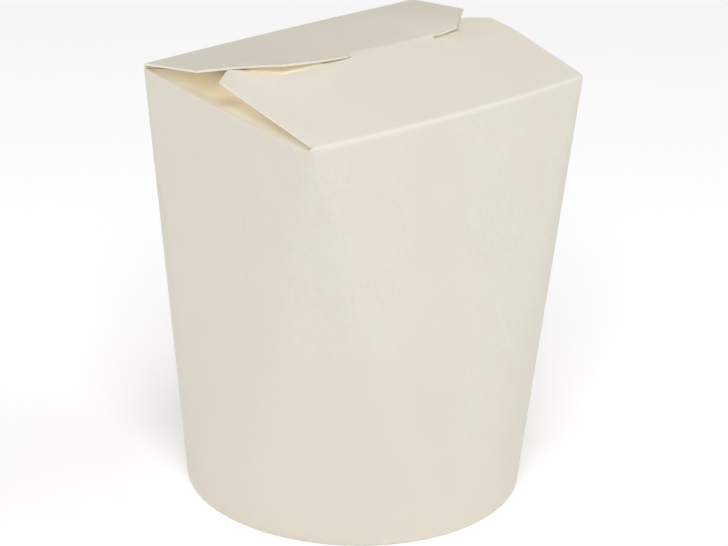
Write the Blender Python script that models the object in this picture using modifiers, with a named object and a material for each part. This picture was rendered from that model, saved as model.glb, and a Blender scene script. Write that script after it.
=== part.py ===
"""A shut noodle takeaway box: one sheet of coated board, round at the foot and oblong at the mouth.

Metres, +Z up. The origin is on the ground, at the middle of the round foot. X runs along the hinges of
the two main flaps, Y across them. The near flap hinges at -Y and its lip holds down the far flap, which
hinges at +Y. Two side flaps are folded in below them. The shut box can't be seen into, so its inside is
one solid up to the side flaps, with a pocket left open above each of them.

A flap is drawn flat, as points (x, reach), where reach is the distance from the flap's own hinge. It is
cut into cells and then bent, each cell's corners moving to their place on the lid.
"""

import math

import bmesh
import bpy
from mathutils import Matrix, Vector

# Driving dimensions
MOUTH_X = 0.0920
MOUTH_Y = 0.0730
RIM_Z = 0.1190
FOOT_RADIUS = 0.0458
BOARD = 0.0006
CREASE_RADIUS = 0.0012
LONG_BOW = 0.0008
SHORT_BOW = 0.0010

# The foot, seen from below
FOOT_SEGMENTS = 96
FOOT_RING = 0.0016
FOOT_RECESS = 0.0060
FOOT_DRAFT = 0.0004

# How finely the rim and the flaps are cut up
RIM_STEPS = 8
CREASE_STEPS = 3
FLAP_CELL = 0.0046
CUT_SNAP = 1e-6
SMOOTH_BELOW = math.radians(25.0)

# Near flap: its rise for each metre of reach, the curl of its sides, and its outline. Between its two
# ears, which go below the far flap, its lip lies on the far flap's tongue. A slit frees the right ear
# from the lip, and a crease bends that ear nearly flat.
NEAR_RISE = 0.139
NEAR_CURL_LEFT = 0.016
NEAR_CURL_RIGHT = 0.006
NEAR_SIDE = 0.0388
NEAR_END = 0.0455
NEAR_END_X = 0.0375
LIP = 0.0354
LIP_LEFT = -0.0078
LIP_RIGHT = 0.0229
SLIT_ROOT_X = 0.0259
SLIT_WIDTH = 0.0003
EAR_CREASE = 0.0299
EAR_RISE = 0.035

# Far flap: its rise and how much less that is on the right, the dip of its middle, and its outline
FAR_RISE = 0.2005
FAR_TWIST = 0.0245
FAR_SIDE_LEFT = 0.0242
FAR_SIDE_RIGHT = 0.0225
WING_LEFT = -0.0279
WING_RIGHT = 0.0309
DIP = 0.00175
DIP_POWER = 1.4
DIP_LEFT = -0.0386
DIP_LEFT_WIDTH = 0.0276
DIP_RIGHT = 0.0368
DIP_RIGHT_WIDTH = 0.0175

# The tongue, pressed down below the lip, and the short stretch of wing that comes down with it
TONGUE_LEFT = -0.0045
TONGUE_BITE = 0.0010
TONGUE_DROP = 0.00105
TONGUE_DROP_REACH = 0.0052
TONGUE_SHOULDER = 0.0011

# Side flaps, and the pockets above them
SIDE_FALL = math.radians(9.0)
POCKET = 0.0260
POCKET_WALL = 0.0010
CUTTER_ROOM = 0.0150

# How far one shape runs into the next where they are fused
EMBED = 0.0003
EAR_EMBED = 0.00015
CORE_FLOOR = 0.0080

BOARD_COLOUR = (0.76, 0.71, 0.61, 1.0)
BOARD_ROUGHNESS = 0.5

HALF_X = MOUTH_X / 2
HALF_Y = MOUTH_Y / 2
TONGUE = MOUTH_Y - LIP


def smoothstep(t):
    t = min(max(t, 0.0), 1.0)
    return t * t * (3.0 - 2.0 * t)


def bow(t, depth):
    """How far a side of the mouth stands out at t, from -1 at one corner to 1 at the other."""
    return depth * (1.0 - t * t)


def far_height(x, reach):
    """Height of the far flap above the rim."""
    dip = DIP * (max(reach, 0.0) / TONGUE) ** DIP_POWER
    dip *= smoothstep((x - DIP_LEFT) / DIP_LEFT_WIDTH) * smoothstep((DIP_RIGHT - x) / DIP_RIGHT_WIDTH)
    drop = TONGUE_DROP * smoothstep(1.0 + (reach - TONGUE) / TONGUE_DROP_REACH)
    drop *= smoothstep(1.0 + (x - TONGUE_LEFT) / TONGUE_SHOULDER)
    drop *= smoothstep(1.0 + (LIP_RIGHT - x) / TONGUE_SHOULDER)
    return (FAR_RISE - FAR_TWIST * x / HALF_X) * reach - dip - drop


def below_far(height, x, reach, sink):
    """A height on the near flap, kept this far below the far flap's top where they cross past the lip."""
    return min(height, far_height(x, MOUTH_Y - reach) - sink) if reach > LIP else height


def near_plane(x, reach):
    """Height above the rim of the near flap before its ears come into it."""
    side = max(0.0, 2.0 * abs(x) / HALF_X - 1.0)
    curl = NEAR_CURL_LEFT if x < 0.0 else NEAR_CURL_RIGHT
    return (NEAR_RISE + curl * side**2) * reach


def slit_x(reach):
    """Where the slit beside the lip runs."""
    t = min(max((reach - EAR_CREASE) / (LIP - EAR_CREASE), 0.0), 1.0)
    return SLIT_ROOT_X + t * (LIP_RIGHT - SLIT_ROOT_X) + SLIT_WIDTH / 2


def near_height(x, reach):
    """Height of the near flap above the rim."""
    height = near_plane(x, reach)
    if reach > EAR_CREASE and x > slit_x(reach):
        height = near_plane(x, EAR_CREASE) + EAR_RISE * (reach - EAR_CREASE)
    return below_far(height, x, reach, EAR_EMBED)


def near_place(x, reach):
    """Where a point of the near flap lies. Its hinge follows the bowed side of the mouth."""
    shift = bow(x / HALF_X, LONG_BOW) * max(0.0, 1.0 - reach / LIP)
    return x, reach - shift - HALF_Y, RIM_Z + near_height(x, reach)


def far_place(x, reach):
    shift = bow(x / HALF_X, LONG_BOW) * max(0.0, 1.0 - reach / TONGUE)
    return x, HALF_Y + shift - reach, RIM_Z + far_height(x, reach)


def board_material():
    material = bpy.data.materials.new("coated_board")
    material.use_nodes = True
    shader = material.node_tree.nodes["Principled BSDF"]
    shader.inputs["Base Color"].default_value = BOARD_COLOUR
    shader.inputs["Roughness"].default_value = BOARD_ROUGHNESS
    shader.inputs["Metallic"].default_value = 0.0
    return material


def add_collection(name, helper=False):
    collection = bpy.data.collections.new(name)
    bpy.context.scene.collection.children.link(collection)
    collection.hide_render = helper
    return collection


def add_object(name, mesh, collection):
    """Turns a bmesh into an object, drawn as a wire if its collection is one of helpers."""
    data = bpy.data.meshes.new(name)
    mesh.to_mesh(data)
    mesh.free()
    obj = bpy.data.objects.new(name, data)
    collection.objects.link(obj)
    if collection.hide_render:
        obj.hide_render = True
        obj.display_type = "WIRE"
    return obj


def mouth_outline(inset):
    """Points round the mouth, whose four sides bow out a little."""
    points = []
    for turn in range(4):
        along, across, depth = (HALF_X, HALF_Y, LONG_BOW) if turn % 2 == 0 else (HALF_Y, HALF_X, SHORT_BOW)
        spin = Matrix.Rotation(turn * math.pi / 2, 2)
        for step in range(RIM_STEPS):
            t = 2.0 * step / RIM_STEPS - 1.0
            points.append(spin @ Vector((t * (along - inset), inset - across - bow(t, depth))))
    return points


def walls(collection):
    """The filled body: the hull of the round foot and the bowed mouth, with a rounded crease at its rim."""
    mesh = bmesh.new()
    bmesh.ops.create_circle(mesh, segments=FOOT_SEGMENTS, radius=FOOT_RADIUS)
    for step in range(CREASE_STEPS + 1):
        turn = math.pi / 2 * step / CREASE_STEPS
        z = RIM_Z - CREASE_RADIUS * (1.0 - math.sin(turn))
        for x, y in mouth_outline(CREASE_RADIUS * (1.0 - math.cos(turn))):
            mesh.verts.new((x, y, z))
    bmesh.ops.convex_hull(mesh, input=mesh.verts)
    bmesh.ops.recalc_face_normals(mesh, faces=mesh.faces)
    carton = add_object("carton", mesh, collection)
    carton.data.shade_smooth()
    carton.data.set_sharp_from_angle(angle=SMOOTH_BELOW)
    return carton


def foot_cutter(collection):
    """The hollow below the base disc, inside the foot's rolled ring."""
    inner = FOOT_RADIUS - FOOT_RING
    mesh = bmesh.new()
    bmesh.ops.create_cone(
        mesh,
        cap_ends=True,
        segments=FOOT_SEGMENTS,
        radius1=inner + FOOT_DRAFT,
        radius2=inner - FOOT_DRAFT,
        depth=2 * FOOT_RECESS,
    )
    return add_object("foot_recess", mesh, collection)


def pocket_cutter(collection, name, turn):
    """The space above a side flap: a block whose lower face falls from the rim towards the middle."""
    length = POCKET + 2 * CUTTER_ROOM
    mesh = bmesh.new()
    bmesh.ops.create_cube(mesh, size=1.0)
    bmesh.ops.scale(mesh, vec=(length, MOUTH_Y - 2 * POCKET_WALL, CUTTER_ROOM), verts=mesh.verts)
    bmesh.ops.translate(mesh, vec=(-POCKET / 2, 0.0, CUTTER_ROOM / 2), verts=mesh.verts)
    bmesh.ops.rotate(mesh, matrix=Matrix.Rotation(-SIDE_FALL, 3, "Y"), verts=mesh.verts)
    bmesh.ops.translate(mesh, vec=(HALF_X, 0.0, RIM_Z - EMBED), verts=mesh.verts)
    bmesh.ops.rotate(mesh, matrix=Matrix.Rotation(turn, 3, "Z"), verts=mesh.verts)
    return add_object(name, mesh, collection)


def cut_into_cells(mesh, folds):
    """Cuts a flat outline along a grid and along its folds, so that it can bend."""
    columns = round(MOUTH_X / FLAP_CELL)
    rows = round(MOUTH_Y / FLAP_CELL)
    cuts = [((1, 0, 0), MOUTH_X * column / columns - HALF_X) for column in range(1, columns)]
    cuts += [((0, 1, 0), MOUTH_Y * row / rows) for row in range(1, rows)]
    cuts += [((0, 1, 0), fold) for fold in folds]
    for normal, place in cuts:
        bmesh.ops.bisect_plane(
            mesh,
            geom=mesh.verts[:] + mesh.edges[:] + mesh.faces[:],
            dist=CUT_SNAP,
            plane_co=[place * part for part in normal],
            plane_no=normal,
        )


def flat_outline(outline, folds=()):
    mesh = bmesh.new()
    mesh.faces.new([mesh.verts.new((x, reach, 0.0)) for x, reach in outline])
    mesh.normal_update()
    bmesh.ops.triangulate(mesh, faces=mesh.faces)
    cut_into_cells(mesh, folds)
    bmesh.ops.triangulate(mesh, faces=mesh.faces)
    return mesh


def bent_plate(name, collection, outline, place, folds=()):
    """A flat outline of board, bent to its place on the lid and given its thickness."""
    mesh = flat_outline(outline, folds)
    for vert in mesh.verts:
        vert.co = place(vert.co.x, vert.co.y)
    mesh.normal_update()
    if sum(face.normal.z for face in mesh.faces) < 0.0:
        bmesh.ops.reverse_faces(mesh, faces=mesh.faces)
    obj = add_object(name, mesh, collection)
    solidify = obj.modifiers.new("board", "SOLIDIFY")
    solidify.thickness = BOARD
    solidify.offset = -1.0
    return obj


def near_flap(collection):
    outline = (
        (-HALF_X, CREASE_RADIUS / 2),
        (HALF_X, CREASE_RADIUS / 2),
        (HALF_X, NEAR_SIDE),
        (NEAR_END_X, NEAR_END),
        (LIP_RIGHT + SLIT_WIDTH, NEAR_END),
        (LIP_RIGHT + SLIT_WIDTH, LIP),
        (SLIT_ROOT_X + SLIT_WIDTH, EAR_CREASE),
        (SLIT_ROOT_X, EAR_CREASE),
        (LIP_RIGHT, LIP),
        (LIP_LEFT, LIP),
        (LIP_LEFT, NEAR_END),
        (-NEAR_END_X, NEAR_END),
        (-HALF_X, NEAR_SIDE),
    )
    bent_plate("near_flap", collection, outline, near_place, folds=(EAR_CREASE,))


def far_flap(collection):
    wing = TONGUE - SLIT_WIDTH
    outline = (
        (-HALF_X, CREASE_RADIUS / 2),
        (HALF_X, CREASE_RADIUS / 2),
        (HALF_X, FAR_SIDE_RIGHT),
        (WING_RIGHT, wing),
        (LIP_RIGHT, wing),
        (LIP_RIGHT, TONGUE + TONGUE_BITE),
        (TONGUE_LEFT, TONGUE + TONGUE_BITE),
        (TONGUE_LEFT, wing),
        (WING_LEFT, wing),
        (-HALF_X, FAR_SIDE_LEFT),
    )
    bent_plate("far_flap", collection, outline, far_place)


def core(collection):
    """What is closed in below the two main flaps, between the two pockets."""
    half = HALF_X - POCKET
    start = POCKET_WALL - EMBED
    mesh = flat_outline(((-half, start), (half, start), (half, MOUTH_Y - start), (-half, MOUTH_Y - start)))
    for vert in mesh.verts:
        x, reach = vert.co.x, vert.co.y
        top = below_far(near_plane(x, reach) - EMBED, x, reach, EMBED)
        vert.co = (x, reach - HALF_Y, RIM_Z + top)
    floor = bmesh.ops.extrude_face_region(mesh, geom=mesh.faces[:])
    for vert in (item for item in floor["geom"] if isinstance(item, bmesh.types.BMVert)):
        vert.co.z = RIM_Z - CORE_FLOOR
    bmesh.ops.recalc_face_normals(mesh, faces=mesh.faces)
    return add_object("core", mesh, collection)


def boolean(obj, name, operation, collection):
    modifier = obj.modifiers.new(name, "BOOLEAN")
    modifier.operation = operation
    modifier.operand_type = "COLLECTION"
    modifier.collection = collection
    modifier.solver = "EXACT"


def main():
    for obj in list(bpy.data.objects):
        bpy.data.objects.remove(obj, do_unlink=True)
    box = add_collection("noodle_box")
    cutters = add_collection("cutters", helper=True)
    boards = add_collection("boards", helper=True)

    foot_cutter(cutters)
    pocket_cutter(cutters, "pocket_right", 0.0)
    pocket_cutter(cutters, "pocket_left", math.pi)
    near_flap(boards)
    far_flap(boards)
    core(boards)

    carton = walls(box)
    carton.data.materials.append(board_material())
    boolean(carton, "hollows", "DIFFERENCE", cutters)
    boolean(carton, "lid", "UNION", boards)


main()
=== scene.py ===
"""The looks of a shut noodle takeaway box: its board, folds, cut edges and foot, on a plain pale floor.

Metres, in the frame's own axes. The origin is on the ground at the middle of the foot, X runs along the
hinges of the two main flaps and Y across them. Every part of the box is the same sheet of board: a
surface whose outer face is drawn where it lies, and which then gets its thickness.

A flap is drawn flat, as points (x, reach), where reach is the distance from the flap's own hinge. It is
cut into small cells and bent, each cell's corners moving to their place on the lid.

The walls are a grid of columns and rows, and are drawn in one with the folds over the rim.
"""

import math

import bmesh
import bpy
from mathutils import Matrix, Vector


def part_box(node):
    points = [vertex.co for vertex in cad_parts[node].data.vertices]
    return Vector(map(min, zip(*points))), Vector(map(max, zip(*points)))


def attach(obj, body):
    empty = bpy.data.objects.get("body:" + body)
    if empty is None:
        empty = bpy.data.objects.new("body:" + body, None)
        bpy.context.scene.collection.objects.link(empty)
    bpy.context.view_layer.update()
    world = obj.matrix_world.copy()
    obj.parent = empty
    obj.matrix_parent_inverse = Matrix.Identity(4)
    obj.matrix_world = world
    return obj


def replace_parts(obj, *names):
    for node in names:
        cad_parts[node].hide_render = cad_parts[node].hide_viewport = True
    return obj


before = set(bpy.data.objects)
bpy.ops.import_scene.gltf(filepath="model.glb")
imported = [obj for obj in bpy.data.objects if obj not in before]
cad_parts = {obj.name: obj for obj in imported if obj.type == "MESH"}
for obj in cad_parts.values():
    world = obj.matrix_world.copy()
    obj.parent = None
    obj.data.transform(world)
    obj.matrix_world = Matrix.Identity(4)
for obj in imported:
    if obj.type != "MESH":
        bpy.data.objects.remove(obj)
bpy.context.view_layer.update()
LOW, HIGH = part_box("carton")

# The board, and how far each side of the mouth stands out in its middle
BOARD = 0.00058
FRONT_BOW = 0.0024
BACK_BOW = 0.0008
SHORT_BOW = 0.0010

# The box's main sizes: the foot, the mouth's half sizes at its corners, and the rim
FOOT_RADIUS = (HIGH.y - LOW.y) / 2
HALF_X = (HIGH.x - LOW.x) / 2 - SHORT_BOW
HALF_Y = 0.0365
RIM_Z = 0.1190
CORNER_RADIUS = 0.0004

# The fold over the rim: how far it goes on into a flap, how far below the rim it starts, and how much
# lower the side flaps fold than the main ones
CREASE = 0.0010
FOLD_DROP = 0.0026
SIDE_RIM_DROP = 0.0012

# How closely that fold keeps to the corner: 1 is a soft bend, more is sharper. Along the front and the
# back it goes from SOFT_FOLD to SOFT_FOLD_END, and it is sharp close to a corner
SHARP_SIDES = 1.3
SHARP_CORNER = 3.0
SOFT_FOLD = 0.8
SOFT_FOLD_END = 1.5
CORNER_RUN = 0.12

# The small notch at the near flap's left root: its width, and how far up the fold it starts
NOTCH = 0.0011
NOTCH_FROM = 0.45

# The foot: its folded ring, the recess in it, the ring's cut edge in there, and the disc's own form
FOOT_RING = 0.0016
FOOT_RECESS = 0.0060
FOOT_LIP = 0.0005
DISC_DISH = 0.0005
DISC_BEND = 0.0012

# The glued seam on the back: a strip of the right wall laps over it, from the corner to its cut edge
SEAM_START = -1.0
SEAM_FULL = -0.91
SEAM_EDGE = -0.74
SEAM_CUT = 0.0015
SEAM_TOP = 0.1150

# How finely the sheets are cut up
COLUMNS = 48
WALL_ROWS = 60
CREASE_ROWS = 12
FOOT_ROWS = 10
DISC_RINGS = 12
TONGUE_ROWS = 6
FLAP_CELL = 0.0015
CUT_SNAP = 1e-6
SMOOTH_BELOW = math.radians(35.0)

# Near flap: its rise for each metre of reach, the curl of its sides, its outline, the width of the painted
# highlight along the cut end of its lip, and its right ear, which a slit frees from the lip
NEAR_RISE = 0.139
NEAR_CURL_LEFT = 0.016
NEAR_CURL_RIGHT = 0.006
NEAR_SIDE = 0.0388
NEAR_END = 0.0455
NEAR_END_X = 0.0375
LIP = 0.0354
LIP_RIGHT = 0.0222
SLIT_ROOT_X = 0.0259
SLIT_WIDTH = 0.0002
LIP_HIGHLIGHT_WIDTH = 0.0009
EAR_CREASE = 0.0299
EAR_RISE = 0.020

# Far flap: its rise and how much less that is on the right, its tilt, its outline, and its middle's dip
FAR_RISE = 0.2005
FAR_TWIST = 0.0245
FAR_TILT = 0.00035
FAR_SIDE_LEFT = 0.0242
FAR_SIDE_RIGHT = 0.0225
WING_LEFT = -0.0279
WING_RIGHT = 0.0309
DIP = 0.00200
DIP_POWER = 1.4
DIP_LEFT = -0.0386
DIP_LEFT_WIDTH = 0.0330
DIP_RIGHT = 0.0368
DIP_RIGHT_WIDTH = 0.0175

# The tongue, which bends gently and then drops below the lip, and goes on under it
TONGUE_LEFT = -0.0045
TONGUE_BITE = 0.0060
TONGUE_BEND = 0.00040
TONGUE_BEND_REACH = 0.0025
TONGUE_DROP = 0.00110
TONGUE_DROP_REACH = 0.0005
TONGUE_SHOULDER = 0.0007
CLEARANCE = 0.00006

# Side flaps
SIDE_FALL = math.radians(9.0)
SIDE_REACH = 0.0340
SIDE_GAP = 0.0007
SIDE_TAPER = 0.0060
# The reach over which a side flap's painted shade comes in
SIDE_SHADE = 0.0080

# The camera, fitted to the box's corners in the photograph. Its shifts and distance are in mouth widths
LENS_PIXELS = 4000.0
IMAGE_WIDTH = 728
SENSOR = 36.0
AZIMUTH = math.radians(-38.94)
ELEVATION = math.radians(23.79)
ROLL = math.radians(1.63)
SHIFT_RIGHT = -0.035
SHIFT_UP = -0.595
DISTANCE = 12.099

MOUTH_WIDTH = 2 * HALF_X
TONGUE = 2 * HALF_Y - LIP
SIDES = (
    (HALF_X, HALF_Y, FRONT_BOW),
    (HALF_Y, HALF_X, SHORT_BOW),
    (HALF_X, HALF_Y, BACK_BOW),
    (HALF_Y, HALF_X, SHORT_BOW),
)
FRONT, RIGHT, BACK, LEFT = range(4)


def smoothstep(t):
    t = min(max(t, 0.0), 1.0)
    return t * t * (3.0 - 2.0 * t)


def bow(t, depth):
    """How far a side of the mouth stands out at t, from -1 at one corner to 1 at the other."""
    return depth * (1.0 - t * t)


# The lid's form

def far_height(x, reach):
    """Height of the far flap above the rim."""
    across = x / HALF_X
    plane = (FAR_RISE - FAR_TWIST * across) * reach - FAR_TILT * across
    dip = DIP * (max(reach, 0.0) / TONGUE) ** DIP_POWER
    dip *= smoothstep((x - DIP_LEFT) / DIP_LEFT_WIDTH) * smoothstep((DIP_RIGHT - x) / DIP_RIGHT_WIDTH)
    drop = TONGUE_DROP * smoothstep(1.0 + (reach - TONGUE) / TONGUE_DROP_REACH)
    drop += TONGUE_BEND * smoothstep(1.0 + (reach - TONGUE) / TONGUE_BEND_REACH)
    drop *= smoothstep(1.0 + (x - TONGUE_LEFT) / TONGUE_SHOULDER)
    drop *= smoothstep(1.0 + (LIP_RIGHT - x) / TONGUE_SHOULDER)
    return plane - dip - drop


def near_plane(x, reach):
    """Height above the rim of the near flap before its ears come into it."""
    side = max(0.0, 2.0 * abs(x) / HALF_X - 1.0)
    curl = NEAR_CURL_LEFT if x < 0.0 else NEAR_CURL_RIGHT
    return (NEAR_RISE + curl * side**2) * reach


def slit_x(reach):
    """Where the slit beside the lip runs."""
    t = min(max((reach - EAR_CREASE) / (LIP - EAR_CREASE), 0.0), 1.0)
    return SLIT_ROOT_X + t * (LIP_RIGHT - SLIT_ROOT_X) + SLIT_WIDTH / 2


def near_height(x, reach):
    """Height of the near flap above the rim. Past the lip its ears stay below the far flap."""
    height = near_plane(x, reach)
    if reach > EAR_CREASE and x > slit_x(reach):
        height = near_plane(x, EAR_CREASE) + EAR_RISE * (reach - EAR_CREASE)
    if reach > LIP:
        height = min(height, far_height(x, 2 * HALF_Y - reach) - BOARD - CLEARANCE)
    return height


def near_place(x, reach):
    """Where a point of the near flap lies. Its hinge follows the bowed side of the mouth."""
    shift = bow(x / HALF_X, FRONT_BOW) * max(0.0, 1.0 - reach / LIP)
    return Vector((x, reach - shift - HALF_Y, RIM_Z + near_height(x, reach)))


def far_place(x, reach):
    """Where a point of the far flap lies. The end of its tongue goes on below the lip."""
    shift = bow(x / HALF_X, BACK_BOW) * max(0.0, 1.0 - reach / TONGUE)
    height = far_height(x, min(reach, TONGUE))
    if reach > TONGUE:
        height = min(height, near_plane(x, 2 * HALF_Y - reach) - BOARD - CLEARANCE)
    return Vector((x, HALF_Y + shift - reach, RIM_Z + height))


def side_place(turn):
    """The place of a point on a side flap, for the right side (turn 1) or the left side (turn -1)."""

    def place(y, reach):
        shift = bow(y / HALF_Y, SHORT_BOW) * max(0.0, 1.0 - reach / SIDE_REACH)
        inward = HALF_X + shift - reach * math.cos(SIDE_FALL)
        return Vector((turn * inward, turn * y, RIM_Z - SIDE_RIM_DROP - reach * math.sin(SIDE_FALL)))

    return place


# Mesh helpers

def finished(obj, materials):
    """Gives a sheet its materials, makes its modifiers final, smooths it and hangs it on the frame."""
    for material in materials:
        obj.data.materials.append(material)
    graph = bpy.context.evaluated_depsgraph_get()
    mesh = bpy.data.meshes.new_from_object(obj.evaluated_get(graph))
    mesh.name = obj.name
    obj.modifiers.clear()
    obj.data = mesh
    mesh.shade_smooth()
    mesh.set_sharp_from_angle(angle=SMOOTH_BELOW)
    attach(obj, "root")
    return obj


def board_sheet(name, mesh, materials):
    """Turns an open surface, the board's outer face, into board of the right thickness."""
    data = bpy.data.meshes.new(name)
    mesh.to_mesh(data)
    mesh.free()
    obj = bpy.data.objects.new(name, data)
    bpy.context.scene.collection.objects.link(obj)
    thickness = obj.modifiers.new("board", "SOLIDIFY")
    thickness.thickness = BOARD
    thickness.offset = -1.0
    thickness.use_quality_normals = True
    thickness.material_offset = 1
    thickness.material_offset_rim = 2
    return finished(obj, materials)


def fill_between(mesh, row, following, closed=False, first=0):
    """Faces between two rows of vertices, outwards for rows that run counterclockwise and go up."""
    count = len(row)
    for step in range(first, count if closed else count - 1):
        after = (step + 1) % count
        mesh.faces.new((row[step], row[after], following[after], following[step]))


# The walls and the foot

def wall_columns():
    """Where the walls' columns stand, as (side, v). v goes from -1 to 1 along a side, each corner once."""
    spots = []
    for side in range(4):
        along = [step / COLUMNS - 1.0 for step in range(2 * COLUMNS)]
        if side == BACK:
            along = sorted(along + [SEAM_EDGE, SEAM_EDGE + SEAM_CUT])
        if side == FRONT:
            along = sorted(along + [NOTCH / HALF_X - 1.0])
        spots += [(side, v) for v in along]
    return spots


def wall_point(side, v, height):
    """A point of the walls and the way it faces. height goes from 0 at the foot to 1 at the rim.

    Each side is flat where it meets the rim and turns round the corner by 45 degrees each way. A straight
    line joins each point of the rim to the point of the foot that faces the same way, as in any board
    that is bent without stretching.
    """
    half, across, depth = SIDES[side]
    straight = half - CORNER_RADIUS
    radius = (1.0 - height) * FOOT_RADIUS + height * CORNER_RADIUS
    bend = math.atan(2.0 * depth / straight)
    bowed = radius * bend + height * straight
    run = abs(v) * (radius * math.pi / 4 + height * straight)
    t = min(run / bowed, 1.0)
    angle = math.copysign(bend * t + max(run - bowed, 0.0) / radius, v)
    turn = Matrix.Rotation(side * math.pi / 2, 2)
    along = turn @ Vector((1.0, 0.0))
    outward = turn @ Vector((0.0, -1.0))
    facing = outward * math.cos(angle) + along * math.sin(angle)
    rim = along * math.copysign(t, v) * straight + outward * (across - CORNER_RADIUS + bow(t, depth))
    flat = facing * radius + rim * height
    return Vector((flat.x, flat.y, height * RIM_Z)), Vector((facing.x, facing.y, 0.0))


def seam_lift(side, v, z):
    """How far the glued strip stands out from the wall below it."""
    if side != BACK or v > SEAM_EDGE or z > SEAM_TOP:
        return 0.0
    return BOARD * smoothstep((v - SEAM_START) / (SEAM_FULL - SEAM_START))


def foot_rows():
    """The foot's fold as (distance inwards, height), from its outer face round below to its inner ply."""
    fold = FOOT_RING / 2
    turns = [math.pi * step / FOOT_ROWS for step in range(1, FOOT_ROWS + 1)]
    rows = [(fold * (1.0 - math.cos(turn)), fold * (1.0 - math.sin(turn))) for turn in turns]
    return rows + [(FOOT_RING, FOOT_RECESS / 2), (FOOT_RING, FOOT_RECESS - FOOT_LIP)]


def fold_sharpness(side, v):
    """How sharply the board is bent over the rim, at v along a side."""
    if side in (LEFT, RIGHT):
        return SHARP_SIDES
    soft = SOFT_FOLD + (SOFT_FOLD_END - SOFT_FOLD) * (1.0 + v) / 2
    away = smoothstep((1.0 - abs(v)) / CORNER_RUN)
    return SHARP_CORNER + (soft - SHARP_CORNER) * away


def crease_end(side, corner_point):
    """Where the fold over the rim ends, on the flap that goes on from this side."""
    x, y = corner_point.x, corner_point.y
    if side == FRONT:
        return near_place(x, CREASE)
    if side == BACK:
        return far_place(x, CREASE)
    turn = 1 if side == RIGHT else -1
    return side_place(turn)(turn * y, CREASE)


def upright_rows(mesh, spots):
    """The walls' rows of vertices, from the foot's inner ply round below and up to the fold's start."""
    below = FOOT_RING / 2
    top = RIM_Z - FOLD_DROP
    levels = [below + (top - below) * step / WALL_ROWS for step in range(WALL_ROWS + 1)]
    levels = sorted(levels + [SEAM_TOP, SEAM_TOP + CLEARANCE])
    rows = []
    for inwards, z in reversed(foot_rows()):
        row = []
        for side, v in spots:
            place, facing = wall_point(side, v, 0.0)
            lift = seam_lift(side, v, z) * max(0.0, 1.0 - inwards / below)
            row.append(mesh.verts.new(place + facing * (lift - inwards) + Vector((0.0, 0.0, z))))
        rows.append(row)
    for z in levels:
        row = []
        for side, v in spots:
            place, facing = wall_point(side, v, z / RIM_Z)
            row.append(mesh.verts.new(place + facing * seam_lift(side, v, z)))
        rows.append(row)
    return rows


def fold_over_rim(mesh, fold_paling_and_highlight, side, along, row, rims):
    """Bends a side's board over the rim, from the top row of its wall to where its flap starts."""
    starts = [vert.co.copy() for vert in row]
    ends = [crease_end(side, rim) for rim in rims]
    pulls = [fold_sharpness(side, v) for v in along]
    if side in (LEFT, RIGHT):
        rims = [rim - Vector((0.0, 0.0, SIDE_RIM_DROP)) for rim in rims]
    for step in range(1, CREASE_ROWS + 1):
        t = step / CREASE_ROWS
        following = []
        for start, rim, end, pull in zip(starts, rims, ends, pulls):
            parts = ((1 - t) ** 2, 2 * t * (1 - t) * pull, t**2)
            vert = mesh.verts.new((start * parts[0] + rim * parts[1] + end * parts[2]) / sum(parts))
            # Front and back folds are painted paler, partly the board's whitening and partly a painted
            # highlight; side folds get none
            vert[fold_paling_and_highlight] = math.sin(math.pi * t) if side in (FRONT, BACK) else 0.0
            following.append(vert)
        fill_between(mesh, row, following, first=1 if side == FRONT and t > NOTCH_FROM else 0)
        row = following


def walls(materials):
    """The walls, down to the folded ring of the foot and up to the start of each flap."""
    mesh = bmesh.new()
    fold_paling_and_highlight = mesh.verts.layers.float.new("crease")
    spots = wall_columns()
    rows = upright_rows(mesh, spots)
    for row, following in zip(rows, rows[1:]):
        fill_between(mesh, row, following, closed=True)

    first = 0
    for side in range(4):
        count = sum(1 for spot in spots if spot[0] == side)
        picked = [(first + step) % len(spots) for step in range(count + 1)]
        first += count
        along = [spots[index][1] for index in picked[:-1]] + [1.0]
        rims = [wall_point(*spots[index], 1.0)[0] for index in picked]
        fold_over_rim(mesh, fold_paling_and_highlight, side, along, [rows[-1][index] for index in picked], rims)
    bmesh.ops.delete(mesh, geom=[vert for vert in mesh.verts if not vert.link_faces], context="VERTS")
    return board_sheet("walls", mesh, materials)


def base_disc(materials):
    """The disc that closes the foot: a shallow dish whose rim bends down between the foot's two plies."""
    edge = FOOT_RADIUS - FOOT_RING
    profile = []
    for ring in range(DISC_RINGS + 1):
        part = ring / DISC_RINGS
        profile.append((edge * part, FOOT_RECESS + DISC_DISH * math.cos(math.pi / 2 * part)))
    profile.append((edge + BOARD, FOOT_RECESS - BOARD / 2))
    profile.append((edge + BOARD, FOOT_RECESS - DISC_BEND))
    mesh = bmesh.new()
    steps = 8 * COLUMNS
    angles = [2 * math.pi * step / steps for step in range(steps)]
    centre = mesh.verts.new((0.0, 0.0, profile[0][1]))
    rows = []
    for radius, z in profile[1:]:
        rows.append([mesh.verts.new((radius * math.cos(a), radius * math.sin(a), z)) for a in angles])
    for step in range(steps):
        mesh.faces.new((centre, rows[0][(step + 1) % steps], rows[0][step]))
    for row, following in zip(rows, rows[1:]):
        fill_between(mesh, following, row, closed=True)
    return board_sheet("base_disc", mesh, materials)


# The flaps

def cut_into_cells(mesh, folds):
    """Cuts a flat outline along a fine grid and along its folds, so that it can bend."""
    xs = [vert.co.x for vert in mesh.verts]
    ys = [vert.co.y for vert in mesh.verts]
    cuts = []
    for axis, low, high in (((1, 0, 0), min(xs), max(xs)), ((0, 1, 0), min(ys), max(ys))):
        count = round((high - low) / FLAP_CELL)
        cuts += [(axis, low + (high - low) * step / count) for step in range(1, count)]
    cuts += [((0, 1, 0), fold) for fold in folds]
    for axis, place in cuts:
        bmesh.ops.bisect_plane(
            mesh,
            geom=mesh.verts[:] + mesh.edges[:] + mesh.faces[:],
            dist=CUT_SNAP,
            plane_co=[place * part for part in axis],
            plane_no=axis,
        )


def nowhere(x, reach):
    """Nothing painted paler and no painted shade at any point of a flap."""
    return 0.0


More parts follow.
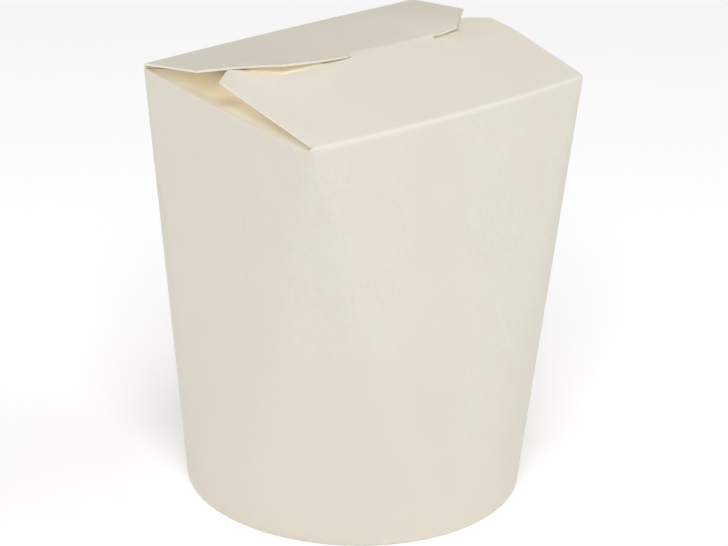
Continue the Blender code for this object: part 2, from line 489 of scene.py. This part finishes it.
def flap(name, outline, place, materials, folds=(), painted_highlight=nowhere, shade=nowhere):
    """A flat outline of board, bent to its place on the lid.

    Two functions of (x, reach) mark it: how much paler each point is painted, as a painted highlight, and
    how much painted warm shade it gets.
    """
    mesh = bmesh.new()
    mesh.faces.new([mesh.verts.new((x, reach, 0.0)) for x, reach in outline])
    mesh.normal_update()
    cut_into_cells(mesh, folds)
    crease = mesh.verts.layers.float.new("crease")
    inside = mesh.verts.layers.float.new("inside")
    for vert in mesh.verts:
        x, reach = vert.co.x, vert.co.y
        vert[crease] = painted_highlight(x, reach)
        vert[inside] = shade(x, reach)
        vert.co = place(x, reach)
    mesh.normal_update()
    if sum(face.normal.z * face.calc_area() for face in mesh.faces) < 0.0:
        bmesh.ops.reverse_faces(mesh, faces=mesh.faces[:])
    return board_sheet(name, mesh, materials)


def lip_painted_highlight(x, reach):
    """A painted highlight: the near flap is painted paler along the cut end of its lip."""
    on_lip = TONGUE_LEFT - SLIT_WIDTH <= x <= LIP_RIGHT
    return 1.0 if on_lip and abs(reach - LIP) < CUT_SNAP else 0.0


def side_shade(y, reach):
    """Painted shade: a side flap is painted warmer and darker from a little way in from its fold, for the
    shade under the lid.
    """
    return smoothstep(reach / SIDE_SHADE)


def near_flap(materials):
    outline = (
        (NOTCH - HALF_X, CREASE),
        (HALF_X, CREASE),
        (HALF_X, NEAR_SIDE),
        (NEAR_END_X, NEAR_END),
        (LIP_RIGHT + SLIT_WIDTH, NEAR_END),
        (LIP_RIGHT + SLIT_WIDTH, LIP),
        (SLIT_ROOT_X + SLIT_WIDTH, EAR_CREASE),
        (SLIT_ROOT_X, EAR_CREASE),
        (LIP_RIGHT, LIP),
        (TONGUE_LEFT - SLIT_WIDTH, LIP),
        (TONGUE_LEFT - SLIT_WIDTH, NEAR_END),
        (-NEAR_END_X, NEAR_END),
        (-HALF_X, NEAR_SIDE),
    )
    folds = (EAR_CREASE, LIP - LIP_HIGHLIGHT_WIDTH)
    return flap("near_flap", outline, near_place, materials, folds=folds, painted_highlight=lip_painted_highlight)


def far_flap(materials):
    outline = (
        (-HALF_X, CREASE),
        (HALF_X, CREASE),
        (HALF_X, FAR_SIDE_RIGHT),
        (WING_RIGHT, TONGUE),
        (LIP_RIGHT, TONGUE),
        (LIP_RIGHT, TONGUE + TONGUE_BITE),
        (TONGUE_LEFT, TONGUE + TONGUE_BITE),
        (TONGUE_LEFT, TONGUE),
        (WING_LEFT, TONGUE),
        (-HALF_X, FAR_SIDE_LEFT),
    )
    folds = [TONGUE - TONGUE_BEND_REACH * step / TONGUE_ROWS for step in range(TONGUE_ROWS + 1)]
    return flap("far_flap", outline, far_place, materials, folds=folds)


def side_flap(name, turn, materials):
    wide = HALF_Y - SIDE_GAP
    narrow = wide - SIDE_TAPER
    outline = ((-wide, CREASE), (wide, CREASE), (narrow, SIDE_REACH), (-narrow, SIDE_REACH))
    return flap(name, outline, side_place(turn), materials, shade=side_shade)


# Materials

BOARD_COLOUR = (0.805, 0.75, 0.638, 1.0)
BOARD_PALE = (0.812, 0.758, 0.647, 1.0)
# Painted sheen: the cooler, paler colour of the coating's mottled patches
PAINTED_SHEEN_COLOUR = (0.804, 0.776, 0.675, 1.0)
# The inner ply's colour; it is also the painted shade on the side flaps under the lid
INNER_PLY_AND_PAINTED_SHADE_COLOUR = (0.82, 0.71, 0.50, 1.0)
CORE_COLOUR = (0.97, 0.93, 0.80, 1.0)
# Folds over the front and back rims and the lip's cut end are painted this paler colour: partly the
# whitening of folded board, partly a painted highlight
CREASE_PALE_AND_HIGHLIGHT_COLOUR = (0.88, 0.84, 0.74, 1.0)
FLOOR_COLOUR = (0.92, 0.92, 0.92, 1.0)
WHITE = (1.0, 1.0, 1.0, 1.0)

# Noises, each as its cells for each metre, its detail, and its scale along Z, where under 1 draws it out
CLOUD = (60.0, 3.0, 1.0)
PATCH = (34.0, 2.0, 0.3)
MOTTLE = (750.0, 4.0, 1.0)
FIBRE = (2600.0, 2.0, 0.35)
PLY_CLOUD = (400.0, 4.0, 1.0)
CUT_FIBRE = (2200.0, 3.0, 1.0)

# The part of a value's range that is spread over what it drives
MIDDLE = (0.35, 0.65)
PATCH_RANGE = (0.46, 0.58)
SPECKLE_RANGE = (0.42, 0.60)
FOLD_RANGE = (0.65, 1.0)

# What those values drive, from their low end to their high end
# How far the folds and the lip's cut end are painted paler, partly whitening and partly painted highlight
FOLD_PALING_AND_HIGHLIGHT = (0.0, 0.8)
PLY_SHADE = (0.1, 0.6)
CUT_SHADE = (0.6, 1.0)
COAT_ROUGHNESS = (0.36, 0.48)

# The coating's gloss, the roughness of the rest, and each bump's height in metres and strength
COAT_IOR = 1.48
COAT_SPECULAR = 0.38
PLY_ROUGHNESS = 0.7
CUT_ROUGHNESS = 0.85
FLOOR_ROUGHNESS = 0.9
FIBRE_BUMP = (0.00002, 0.35)
MOTTLE_BUMP = (0.00006, 0.5)
CUT_BUMP = (0.00005, 0.5)


def noise_node(nodes, links, place, grain):
    """A noise read in metres."""
    cells, detail, squeeze = grain
    mapping = nodes.new("ShaderNodeMapping")
    mapping.inputs["Scale"].default_value = (1.0, 1.0, squeeze)
    links.new(place.outputs["Object"], mapping.inputs["Vector"])
    noise = nodes.new("ShaderNodeTexNoise")
    noise.inputs["Scale"].default_value = cells
    noise.inputs["Detail"].default_value = detail
    links.new(mapping.outputs["Vector"], noise.inputs["Vector"])
    return noise.outputs["Fac"]


def remap(nodes, links, value, source, target=(0.0, 1.0)):
    """Spreads the part of a value's range called source smoothly over target."""
    node = nodes.new("ShaderNodeMapRange")
    node.interpolation_type = "SMOOTHSTEP"
    for name, number in zip(("From Min", "From Max", "To Min", "To Max"), source + target):
        node.inputs[name].default_value = number
    links.new(value, node.inputs["Value"])
    return node.outputs["Result"]


def attribute(nodes, name):
    node = nodes.new("ShaderNodeAttribute")
    node.attribute_name = name
    return node.outputs["Fac"]


def product(nodes, links, first, second):
    node = nodes.new("ShaderNodeMath")
    node.operation = "MULTIPLY"
    links.new(first, node.inputs[0])
    links.new(second, node.inputs[1])
    return node.outputs["Value"]


def blend_colours(nodes, links, factor, first, second):
    """Mixes two colours, each given as a value or as another node's output."""
    node = nodes.new("ShaderNodeMix")
    node.data_type = "RGBA"
    links.new(factor, node.inputs["Factor"])
    for socket, colour in zip([s for s in node.inputs if s.type == "RGBA"], (first, second)):
        if isinstance(colour, tuple):
            socket.default_value = colour
        else:
            links.new(colour, socket)
    return next(s for s in node.outputs if s.type == "RGBA")


def add_bump(nodes, links, height, bump, below=None):
    node = nodes.new("ShaderNodeBump")
    distance, strength = bump
    node.inputs["Strength"].default_value = strength
    node.inputs["Distance"].default_value = distance
    links.new(height, node.inputs["Height"])
    if below:
        links.new(below, node.inputs["Normal"])
    return node.outputs["Normal"]


def new_material(name):
    """A material, its shader, its nodes and links, and where a point lies on the object."""
    material = bpy.data.materials.new(name)
    material.use_nodes = True
    nodes, links = material.node_tree.nodes, material.node_tree.links
    return material, nodes["Principled BSDF"], nodes, links, nodes.new("ShaderNodeTexCoord")


def coated_board():
    """Off-white board with a thin satin coating: fine fibres and a mottled roughness, with a painted
    mottled sheen, painted shade on the side flaps, and folds and the lip's cut end painted paler, partly
    whitening and partly painted highlight.
    """
    material, shader, nodes, links, place = new_material("coated_board")
    mottle = noise_node(nodes, links, place, MOTTLE)
    fibre = noise_node(nodes, links, place, FIBRE)

    clouds = remap(nodes, links, noise_node(nodes, links, place, CLOUD), MIDDLE)
    colour = blend_colours(nodes, links, clouds, BOARD_COLOUR, BOARD_PALE)
    # Painted sheen: cooler, paler patches of fine mottle mixed into the colour
    patches = remap(nodes, links, noise_node(nodes, links, place, PATCH), PATCH_RANGE)
    sheen = product(nodes, links, patches, remap(nodes, links, mottle, SPECKLE_RANGE))
    colour = blend_colours(nodes, links, sheen, colour, PAINTED_SHEEN_COLOUR)
    # Folds and the lip's cut end painted paler: partly whitening, partly painted highlight
    folded = remap(nodes, links, attribute(nodes, "crease"), FOLD_RANGE, FOLD_PALING_AND_HIGHLIGHT)
    colour = blend_colours(nodes, links, folded, colour, CREASE_PALE_AND_HIGHLIGHT_COLOUR)
    # Painted shade: the side flaps turn warmer and darker under the lid
    colour = blend_colours(nodes, links, attribute(nodes, "inside"), colour, INNER_PLY_AND_PAINTED_SHADE_COLOUR)
    links.new(colour, shader.inputs["Base Color"])

    links.new(remap(nodes, links, mottle, MIDDLE, COAT_ROUGHNESS), shader.inputs["Roughness"])
    rough = add_bump(nodes, links, fibre, FIBRE_BUMP)
    links.new(add_bump(nodes, links, mottle, MOTTLE_BUMP, rough), shader.inputs["Normal"])
    shader.inputs["IOR"].default_value = COAT_IOR
    shader.inputs["Specular IOR Level"].default_value = COAT_SPECULAR
    return material


def inner_board():
    """The side of the board that faces into the box: warmer and duller than its coated face."""
    material, shader, nodes, links, place = new_material("inner_board")
    shade = remap(nodes, links, noise_node(nodes, links, place, PLY_CLOUD), MIDDLE, PLY_SHADE)
    colour = blend_colours(nodes, links, shade, INNER_PLY_AND_PAINTED_SHADE_COLOUR, BOARD_COLOUR)
    links.new(colour, shader.inputs["Base Color"])
    shader.inputs["Roughness"].default_value = PLY_ROUGHNESS
    return material


def cut_edge():
    """The bare fibres of a cut edge."""
    material, shader, nodes, links, place = new_material("cut_edge")
    fibre = noise_node(nodes, links, place, CUT_FIBRE)
    shade = remap(nodes, links, fibre, MIDDLE, CUT_SHADE)
    colour = blend_colours(nodes, links, shade, BOARD_PALE, CORE_COLOUR)
    links.new(colour, shader.inputs["Base Color"])
    links.new(add_bump(nodes, links, fibre, CUT_BUMP), shader.inputs["Normal"])
    shader.inputs["Roughness"].default_value = CUT_ROUGHNESS
    return material


def floor_material():
    material = bpy.data.materials.new("pale_floor")
    material.use_nodes = True
    shader = material.node_tree.nodes["Principled BSDF"]
    shader.inputs["Base Color"].default_value = FLOOR_COLOUR
    shader.inputs["Roughness"].default_value = FLOOR_ROUGHNESS
    shader.inputs["Emission Color"].default_value = WHITE
    shader.inputs["Emission Strength"].default_value = FLOOR_GLOW
    return material


# Surroundings

FLOOR_SIZE = 6.0
FLOOR_SQUARES = 8
FLOOR_GLOW = 0.22
WORLD_LIGHT = 0.0
# Each lamp's name, azimuth and elevation in degrees, power in watts, and colour
LIGHTS = (
    ("left_low", -120.0, 20.0, 3.1, (1.05, 1.0, 1.0)),
    ("back_left", -150.0, 45.0, 2.8, (1.04, 1.0, 0.98)),
    ("front", -39.0, 50.0, 13.3, (1.0, 1.0, 1.03)),
    ("above", 0.0, 88.0, 2.9, (1.0, 1.0, 1.02)),
    ("back", 160.0, 40.0, 2.3, (1.06, 1.0, 0.96)),
    ("right_low", 30.0, 20.0, 0.9, (1.0, 1.0, 1.0)),
    ("right", 55.0, 45.0, 6.6, (1.0, 1.0, 1.0)),
)
LAMP_DISTANCE = 1.5
LAMP_SIZE = 0.9

# Hidden lamps stand for the light that thin board lets through. The first lie flat under each end of the
# lid and shine down on the side flap: their height above the rim, then each one's distance from the
# middle, place along Y, size across X, size along Y, and power
POCKET_COLOUR = (0.90, 0.96, 1.02)
POCKET_LAMP_Z = -0.0003
POCKET_LAMPS = (
    (0.0401, 0.0266, 0.0070, 0.0183, 0.00018),
    (0.0300, 0.0266, 0.0130, 0.0183, 0.00034),
    (0.0382, 0.0102, 0.0070, 0.0146, 0.00009),
    (0.0285, 0.0058, 0.0125, 0.0235, 0.00080),
    (0.0401, -0.0158, 0.0085, 0.0374, 0.00041),
)
# One in each far corner of the lid shines on the back wall: its place from the rim's middle, size, power
CORNER_LAMP = (0.0425, 0.0345, -0.0009)
CORNER_LAMP_SIZE = (0.0060, 0.0010)
CORNER_LAMP_POWER = 0.000012
# The last are short ones in rows behind the free edges of the far flap's wings, just above the near flap:
# their colour, where each row starts and ends along X, and its radiance
WARM = (1.0, 0.94, 0.86)
WING_LAMPS = ((-0.0385, -0.0045, 0.30), (0.0235, 0.0315, 0.18))
WING_LAMP_STEP = 0.0020
WING_LAMP_BEHIND = 0.0001
WING_LAMP_DEPTH = 0.0064
WING_LAMP_ABOVE = 0.0001


def direction(azimuth, elevation):
    """From the box towards a place seen at this azimuth and elevation, in radians. Azimuth 0 is at -Y."""
    flat = math.cos(elevation)
    return Vector((math.sin(azimuth) * flat, -math.cos(azimuth) * flat, math.sin(elevation)))


def floor():
    mesh = bmesh.new()
    squares = FLOOR_SQUARES
    bmesh.ops.create_grid(mesh, x_segments=squares, y_segments=squares, size=FLOOR_SIZE / 2)
    data = bpy.data.meshes.new("floor")
    mesh.to_mesh(data)
    mesh.free()
    data.materials.append(floor_material())
    obj = bpy.data.objects.new("floor", data)
    bpy.context.scene.collection.objects.link(obj)


def lights():
    world = bpy.data.worlds.new("studio")
    world.use_nodes = True
    world.node_tree.nodes["Background"].inputs["Color"].default_value = WHITE
    world.node_tree.nodes["Background"].inputs["Strength"].default_value = WORLD_LIGHT
    bpy.context.scene.world = world
    middle = Vector((0.0, 0.0, RIM_Z / 2))
    for name, azimuth, elevation, power, colour in LIGHTS:
        away = direction(math.radians(azimuth), math.radians(elevation))
        data = bpy.data.lights.new(name, "AREA")
        data.shape = "DISK"
        data.size = LAMP_SIZE
        data.energy = power
        data.color = colour
        obj = bpy.data.objects.new(name, data)
        obj.location = middle + away * LAMP_DISTANCE
        obj.rotation_euler = away.to_track_quat("Z", "Y").to_euler()
        bpy.context.scene.collection.objects.link(obj)


def hidden_lamp(name, place, shines, size, power, colour):
    """A small lamp inside the lid, which lights the board round it and isn't seen itself.

    Size is across X and then along the lamp's other side.
    """
    data = bpy.data.lights.new(name, "AREA")
    data.shape = "RECTANGLE"
    data.size, data.size_y = size
    data.energy = power
    data.color = colour
    obj = bpy.data.objects.new(name, data)
    right = Vector((1.0, 0.0, 0.0))
    turn = Matrix((right, right.cross(shines), -shines)).transposed().to_4x4()
    obj.matrix_world = Matrix.Translation(place) @ turn
    obj.visible_camera = False
    bpy.context.scene.collection.objects.link(obj)


def far_edge(x):
    """Where the free edge of the far flap's wings is, along Y."""
    wing, side = (WING_LEFT, FAR_SIDE_LEFT) if x < 0.0 else (WING_RIGHT, FAR_SIDE_RIGHT)
    t = min(max((HALF_X - abs(x)) / (HALF_X - abs(wing)), 0.0), 1.0)
    return HALF_Y - side - t * (TONGUE - side)


def pocket_lamps():
    down = Vector((0.0, 0.0, -1.0))
    backwards = Vector((0.0, 1.0, 0.0))
    for turn in (-1, 1):
        for away, y, wide, long, power in POCKET_LAMPS:
            place = Vector((turn * away, y, RIM_Z + POCKET_LAMP_Z))
            hidden_lamp("pocket", place, down, (wide, long), power, POCKET_COLOUR)
        x, y, z = CORNER_LAMP
        place = Vector((turn * x, y, RIM_Z + z))
        hidden_lamp("corner", place, backwards, CORNER_LAMP_SIZE, CORNER_LAMP_POWER, POCKET_COLOUR)


def wing_lamps():
    size = (WING_LAMP_STEP, WING_LAMP_DEPTH)
    for start, end, radiance in WING_LAMPS:
        power = radiance * math.pi * WING_LAMP_STEP * WING_LAMP_DEPTH
        for step in range(round((end - start) / WING_LAMP_STEP)):
            x = start + (step + 0.5) * WING_LAMP_STEP
            reach = HALF_Y + far_edge(x) + WING_LAMP_BEHIND + WING_LAMP_DEPTH / 2
            height = near_height(x, reach)
            along = Vector((0.0, CREASE, height - near_height(x, reach - CREASE))).normalized()
            shines = along.cross(Vector((1.0, 0.0, 0.0)))
            place = Vector((x, reach - HALF_Y, RIM_Z + height)) - shines * WING_LAMP_ABOVE
            hidden_lamp("wing", place, shines, size, power, WARM)


def camera():
    """The photograph's own view, a little rolled and framed by where the camera stands."""
    back = direction(AZIMUTH, ELEVATION)
    level = Vector((math.cos(AZIMUTH), math.sin(AZIMUTH), 0.0))
    upright = back.cross(level)
    right = level * math.cos(ROLL) + upright * math.sin(ROLL)
    up = upright * math.cos(ROLL) - level * math.sin(ROLL)
    data = bpy.data.cameras.new("camera")
    data.sensor_width = SENSOR
    data.lens = SENSOR * LENS_PIXELS / IMAGE_WIDTH
    obj = bpy.data.objects.new("camera", data)
    place = (back * DISTANCE - right * SHIFT_RIGHT - up * SHIFT_UP) * MOUTH_WIDTH
    turn = Matrix((right, up, back)).transposed().to_4x4()
    obj.matrix_world = Matrix.Translation(place) @ turn
    bpy.context.scene.collection.objects.link(obj)
    bpy.context.scene.camera = obj


bpy.context.scene.view_settings.view_transform = "Standard"
camera()
floor()
lights()
pocket_lamps()
wing_lamps()
board = (coated_board(), inner_board(), cut_edge())
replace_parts(walls(board), "carton")
base_disc(board)
near_flap(board)
far_flap(board)
side_flap("side_flap_right", 1, board)
side_flap("side_flap_left", -1, board)
